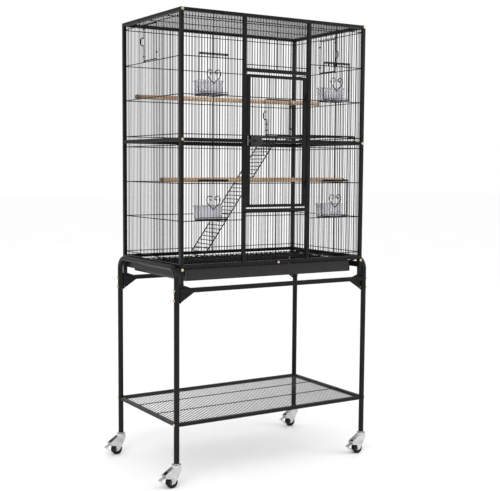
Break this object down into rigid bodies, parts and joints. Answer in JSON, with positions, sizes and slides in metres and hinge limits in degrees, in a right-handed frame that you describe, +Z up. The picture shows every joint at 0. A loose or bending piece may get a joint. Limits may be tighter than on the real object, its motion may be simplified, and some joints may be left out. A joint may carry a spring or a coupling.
{
  "type": "bird cage on stand",
  "caption": "Tall wire bird cage on a rolling tube stand, with a main door, feeder doors and cups, hatches, perches, a shelf with a ladder, a pull-out tray and a lower rack.",
  "frame": {"origin": "on the floor under the middle of the whole, casters included; the middle of the cage is at x = 24.35 mm because the casters trail to the left", "axes": "+X to the right seen from the front, +Y to the back, +Z up"},
  "size_m": [0.8687, 0.479, 1.59],
  "materials": {
    "powder_coat": "satin",
    "wire_coat": "satin",
    "zinc": "bright zinc",
    "plated_steel": "satin",
    "bright_steel": "polished",
    "cup_plastic": "translucent",
    "tray_plastic": "satin",
    "latch_plastic": "satin",
    "perch_wood": "plain",
    "tyre_rubber": "matt",
    "hub_plastic": "satin"
  },
  "bodies": {
    "cage": {"corner_posts": "powder_coat", "cage_rails": "powder_coat", "door_posts": "powder_coat", "latch_keeper": "bright_steel", "wall_grilles": "wire_coat", "top_grille": "wire_coat", "tray_runners": "powder_coat", "bolts": "zinc", "post_pintles": "powder_coat", "cup_rings": "wire_coat", "side_hatch_pins": "wire_coat", "side_frames": "powder_coat", "crossbars": "powder_coat", "rack_rails": "powder_coat", "rack_grille": "wire_coat", "caster_stems": "bright_steel"},
    "main_door": {"door_frame": "powder_coat", "door_grilles": "wire_coat", "door_hinges": "powder_coat", "latch_plate": "latch_plastic", "front_hatch_pin": "wire_coat"},
    "latch_bolt": {"latch_bolt": "latch_plastic"},
    "feeder_door_low_left": {"feeder_door_low_left": "wire_coat"},
    "cup_low_left": {"cup_low_left": "cup_plastic"},
    "feeder_door_low_right": {"feeder_door_low_right": "wire_coat"},
    "cup_low_right": {"cup_low_right": "cup_plastic"},
    "feeder_door_high_left": {"feeder_door_high_left": "wire_coat"},
    "cup_high_left": {"cup_high_left": "cup_plastic"},
    "feeder_door_high_right": {"feeder_door_high_right": "wire_coat"},
    "cup_high_right": {"cup_high_right": "cup_plastic"},
    "hatch_left": {"hatch_left": "wire_coat"},
    "hatch_rod_left": {"hatch_rod_left": "wire_coat"},
    "hatch_right": {"hatch_right": "wire_coat"},
    "hatch_rod_right": {"hatch_rod_right": "wire_coat"},
    "hatch_front": {"hatch_front": "wire_coat"},
    "hatch_rod_front": {"hatch_rod_front": "wire_coat"},
    "upper_perch": {"upper_perch": "perch_wood"},
    "lower_perch": {"lower_perch": "perch_wood"},
    "platform": {"platform": "wire_coat"},
    "ladder": {"ladder": "wire_coat"},
    "tray": {"tray": "tray_plastic"},
    "grate": {"grate": "wire_coat"},
    "tray_latch": {"tray_latch": "powder_coat"},
    "caster_front_left": {"fork_front_left": "bright_steel"},
    "wheel_front_left": {"hub_front_left": "hub_plastic", "tyre_front_left": "tyre_rubber"},
    "pedal_front_left": {"pedal_front_left": "plated_steel"},
    "caster_front_right": {"fork_front_right": "bright_steel"},
    "wheel_front_right": {"hub_front_right": "hub_plastic", "tyre_front_right": "tyre_rubber"},
    "pedal_front_right": {"pedal_front_right": "plated_steel"},
    "caster_back_left": {"fork_back_left": "bright_steel"},
    "wheel_back_left": {"hub_back_left": "hub_plastic", "tyre_back_left": "tyre_rubber"},
    "pedal_back_left": {"pedal_back_left": "plated_steel"},
    "caster_back_right": {"fork_back_right": "bright_steel"},
    "wheel_back_right": {"hub_back_right": "hub_plastic", "tyre_back_right": "tyre_rubber"},
    "pedal_back_right": {"pedal_back_right": "plated_steel"}
  },
  "joints": [
    {"name": "main_door_hinge", "type": "hinge", "parent": "cage", "child": "main_door", "pos_m": [0.14885, -0.231, 1.17], "axis": [0, 0, 1], "range_deg": [0, 110]},
    {"name": "latch_bolt_slide", "type": "slide", "parent": "main_door", "child": "latch_bolt", "axis": [-1, 0, 0], "range_m": [0, 0.007]},
    {"name": "feeder_door_low_left_slide", "type": "slide", "parent": "cage", "child": "feeder_door_low_left", "axis": [0, 0, 1], "range_m": [0, 0.115]},
    {"name": "cup_low_left_lift", "type": "slide", "parent": "cage", "child": "cup_low_left", "axis": [0, 0, 1], "range_m": [0, 0.06]},
    {"name": "feeder_door_low_right_slide", "type": "slide", "parent": "cage", "child": "feeder_door_low_right", "axis": [0, 0, 1], "range_m": [0, 0.115]},
    {"name": "cup_low_right_lift", "type": "slide", "parent": "cage", "child": "cup_low_right", "axis": [0, 0, 1], "range_m": [0, 0.06]},
    {"name": "feeder_door_high_left_slide", "type": "slide", "parent": "cage", "child": "feeder_door_high_left", "axis": [0, 0, 1], "range_m": [0, 0.115]},
    {"name": "cup_high_left_lift", "type": "slide", "parent": "cage", "child": "cup_high_left", "axis": [0, 0, 1], "range_m": [0, 0.06]},
    {"name": "feeder_door_high_right_slide", "type": "slide", "parent": "cage", "child": "feeder_door_high_right", "axis": [0, 0, 1], "range_m": [0, 0.115]},
    {"name": "cup_high_right_lift", "type": "slide", "parent": "cage", "child": "cup_high_right", "axis": [0, 0, 1], "range_m": [0, 0.06]},
    {"name": "hatch_left_hinge", "type": "hinge", "parent": "cage", "child": "hatch_left", "pos_m": [-0.35665, -0.054, 1.5], "axis": [0, 0, 1], "range_deg": [0, 90]},
    {"name": "hatch_rod_left_slide", "type": "slide", "parent": "hatch_left", "child": "hatch_rod_left", "axis": [0, 0, -1], "range_m": [0, 0.008]},
    {"name": "hatch_right_hinge", "type": "hinge", "parent": "cage", "child": "hatch_right", "pos_m": [0.40535, 0.054, 1.5], "axis": [0, 0, 1], "range_deg": [0, 90]},
    {"name": "hatch_rod_right_slide", "type": "slide", "parent": "hatch_right", "child": "hatch_rod_right", "axis": [0, 0, -1], "range_m": [0, 0.008]},
    {"name": "hatch_front_hinge", "type": "hinge", "parent": "main_door", "child": "hatch_front", "pos_m": [0.07835, -0.226, 1.2465], "axis": [0, 0, 1], "range_deg": [0, 90]},
    {"name": "hatch_rod_front_slide", "type": "slide", "parent": "hatch_front", "child": "hatch_rod_front", "axis": [0, 0, -1], "range_m": [0, 0.008]},
    {"name": "upper_perch_lift", "type": "slide", "parent": "cage", "child": "upper_perch", "axis": [0, 0, 1], "range_m": [0, 0.08]},
    {"name": "lower_perch_lift", "type": "slide", "parent": "cage", "child": "lower_perch", "axis": [0, 0, 1], "range_m": [0, 0.08]},
    {"name": "platform_lift", "type": "slide", "parent": "cage", "child": "platform", "axis": [0, 0, 1], "range_m": [0, 0.06]},
    {"name": "ladder_lift", "type": "slide", "parent": "cage", "child": "ladder", "axis": [0, 0, 1], "range_m": [0, 0.05]},
    {"name": "tray_slide", "type": "slide", "parent": "cage", "child": "tray", "axis": [0, -1, 0], "range_m": [0, 0.38]},
    {"name": "grate_slide", "type": "slide", "parent": "cage", "child": "grate", "axis": [0, -1, 0], "range_m": [0, 0.4]},
    {"name": "tray_latch_turn", "type": "hinge", "parent": "cage", "child": "tray_latch", "pos_m": [0.03015, -0.2273, 0.7427], "axis": [0, 1, 0], "range_deg": [-90, 90]},
    {"name": "caster_front_left_swivel", "type": "hinge", "parent": "cage", "child": "caster_front_left", "pos_m": [-0.36915, -0.223, 0.072], "axis": [0, 0, 1], "continuous": true},
    {"name": "wheel_front_left_spin", "type": "hinge", "parent": "caster_front_left", "child": "wheel_front_left", "pos_m": [-0.38815, -0.223, 0.02], "axis": [0, 1, 0], "continuous": true},
    {"name": "pedal_front_left_press", "type": "hinge", "parent": "caster_front_left", "child": "pedal_front_left", "pos_m": [-0.41115, -0.223, 0.043], "axis": [0, -1, 0], "range_deg": [0, 4]},
    {"name": "caster_front_right_swivel", "type": "hinge", "parent": "cage", "child": "caster_front_right", "pos_m": [0.41785, -0.223, 0.072], "axis": [0, 0, 1], "continuous": true},
    {"name": "wheel_front_right_spin", "type": "hinge", "parent": "caster_front_right", "child": "wheel_front_right", "pos_m": [0.39885, -0.223, 0.02], "axis": [0, 1, 0], "continuous": true},
    {"name": "pedal_front_right_press", "type": "hinge", "parent": "caster_front_right", "child": "pedal_front_right", "pos_m": [0.37585, -0.223, 0.043], "axis": [0, -1, 0], "range_deg": [0, 4]},
    {"name": "caster_back_left_swivel", "type": "hinge", "parent": "cage", "child": "caster_back_left", "pos_m": [-0.36915, 0.223, 0.072], "axis": [0, 0, 1], "continuous": true},
    {"name": "wheel_back_left_spin", "type": "hinge", "parent": "caster_back_left", "child": "wheel_back_left", "pos_m": [-0.38815, 0.223, 0.02], "axis": [0, 1, 0], "continuous": true},
    {"name": "pedal_back_left_press", "type": "hinge", "parent": "caster_back_left", "child": "pedal_back_left", "pos_m": [-0.41115, 0.223, 0.043], "axis": [0, -1, 0], "range_deg": [0, 4]},
    {"name": "caster_back_right_swivel", "type": "hinge", "parent": "cage", "child": "caster_back_right", "pos_m": [0.41785, 0.223, 0.072], "axis": [0, 0, 1], "continuous": true},
    {"name": "wheel_back_right_spin", "type": "hinge", "parent": "caster_back_right", "child": "wheel_back_right", "pos_m": [0.39885, 0.223, 0.02], "axis": [0, 1, 0], "continuous": true},
    {"name": "pedal_back_right_press", "type": "hinge", "parent": "caster_back_right", "child": "pedal_back_right", "pos_m": [0.37585, 0.223, 0.043], "axis": [0, -1, 0], "range_deg": [0, 4]}
  ]
}
